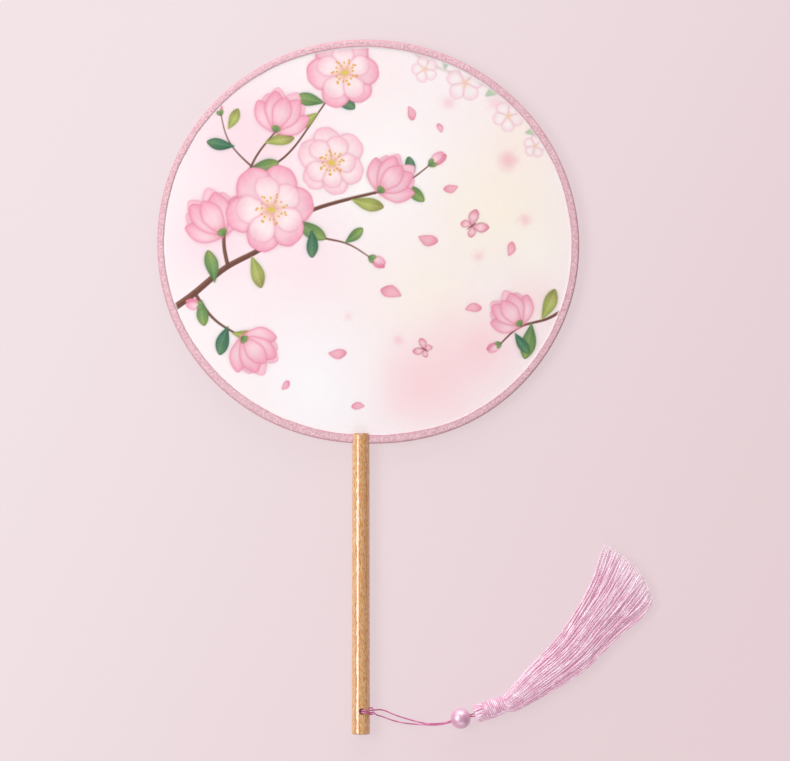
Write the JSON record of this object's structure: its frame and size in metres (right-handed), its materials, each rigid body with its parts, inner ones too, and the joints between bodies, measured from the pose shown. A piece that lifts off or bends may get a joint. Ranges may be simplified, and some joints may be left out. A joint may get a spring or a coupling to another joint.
{
  "type": "round hand fan",
  "caption": "Round hand fan with a cloth-covered hoop head in a folded tape rim, a straight turned handle, and a thread tassel below a bead on a doubled cord",
  "frame": {"origin": "Middle of the fan's footprint on the surface that it lies on, the cord and what is on it left out", "axes": "+X to the right of somebody who looks at the printed front, +Y along the handle towards the head, +Z out of the printed front, away from the surface"},
  "size_m": [0.2979, 0.4166, 0.0122],
  "materials": {
    "beech": "clear gloss lacquer",
    "bamboo": "bare split bamboo",
    "printed_cloth": "fine weave with a soft pink floral print",
    "pink_tape": "fine crepe, dusty pink",
    "cord": "thin twisted cord, magenta pink",
    "pearl": "pink pearl",
    "thread": "silky twisted thread, pale pink"
  },
  "bodies": {
    "fan": {"handle": "beech", "hoop": "bamboo", "face_front": "printed_cloth", "face_back": "printed_cloth", "edge_binding": "pink_tape", "cord_hitch": "cord"},
    "cord": {"cord_loop": "cord"},
    "bead": {"bead": "pearl"},
    "tassel": {"tassel_threads": "thread", "tassel_wrap": "thread", "wrap_tail": "thread"}
  },
  "joints": [
    {"name": "cord_swing", "type": "hinge", "parent": "fan", "child": "cord", "pos_m": [0.0049, -0.19535, 0.00445], "axis": [0, 0, 1], "range_deg": [-90, 20], "deforming": ["cord_loop"]},
    {"name": "bead_slide", "type": "slide", "parent": "cord", "child": "bead", "axis": [0.9563, 0.2924, 0], "range_m": [-0.005, 0.001]},
    {"name": "tassel_bend", "type": "hinge", "parent": "cord", "child": "tassel", "pos_m": [0.063, -0.1974, 0.0058], "axis": [0, 0, 1], "range_deg": [-50, 25], "deforming": ["cord_loop"]}
  ]
}
